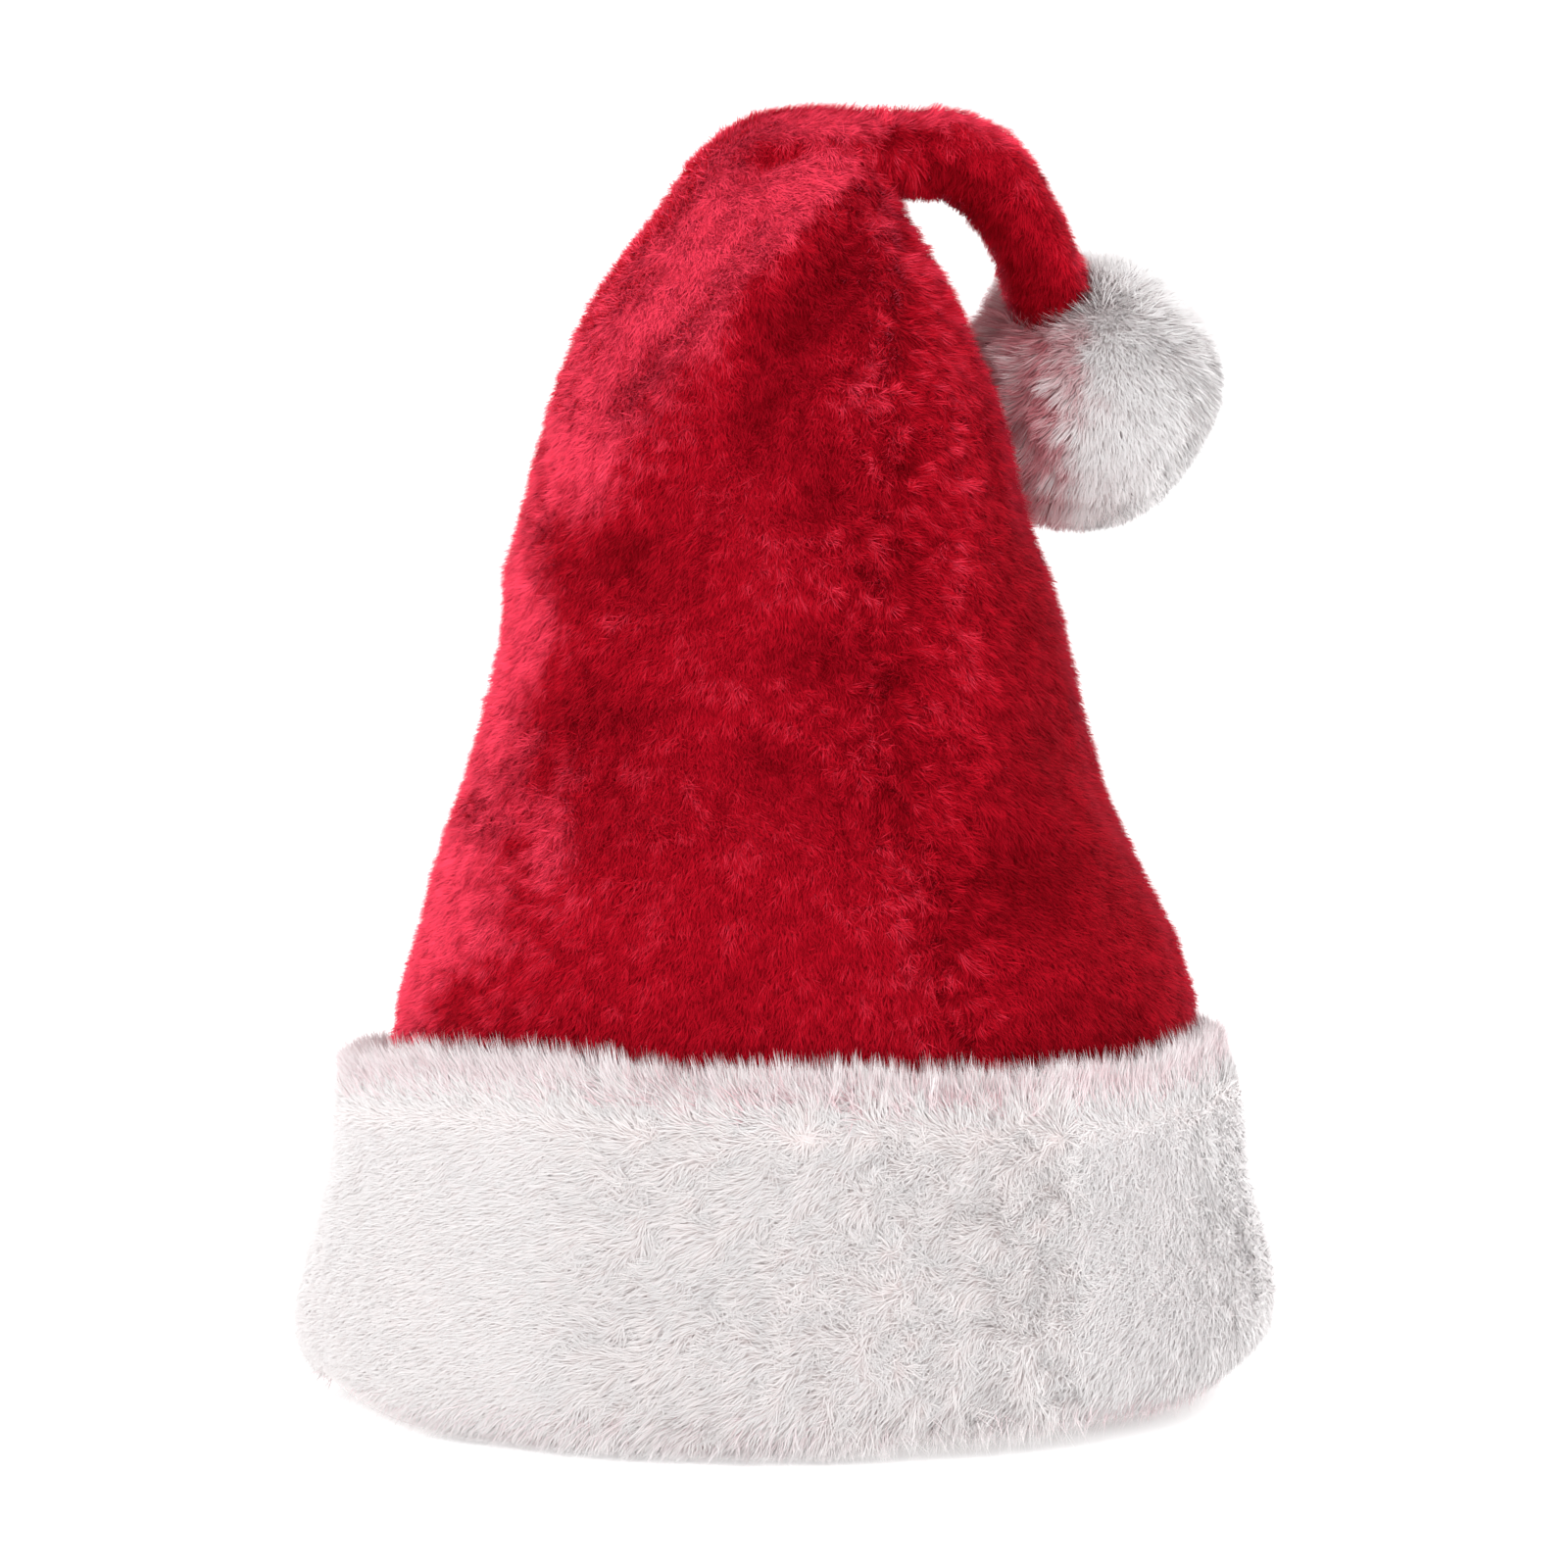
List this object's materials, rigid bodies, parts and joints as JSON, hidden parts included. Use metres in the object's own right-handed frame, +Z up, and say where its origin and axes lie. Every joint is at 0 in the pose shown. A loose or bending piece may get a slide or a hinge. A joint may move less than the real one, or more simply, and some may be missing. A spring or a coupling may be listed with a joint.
{
  "type": "santa hat",
  "caption": "Plush Santa hat: a hollow red cone whose tip folds over into a tail with a white pompom, gripped at its opening by a wide white fluffy cuff.",
  "frame": {"origin": "centre of the bounding box's base, on the surface that the cuff stands on", "axes": "+Z up along the crown, +X to the side that the tail falls to, +Y to the back, away from the seam that shows"},
  "size_m": [0.2681, 0.1905, 0.3498],
  "materials": {
    "red_plush": "short soft pile, deep red with a pink sheen",
    "white_plush": "long fluffy pile, off-white",
    "white_pompom": "long fluffy pile, off-white"
  },
  "bodies": {
    "root": {"crown": "red_plush", "cuff": "white_plush", "pompom": "white_pompom"}
  },
  "joints": []
}
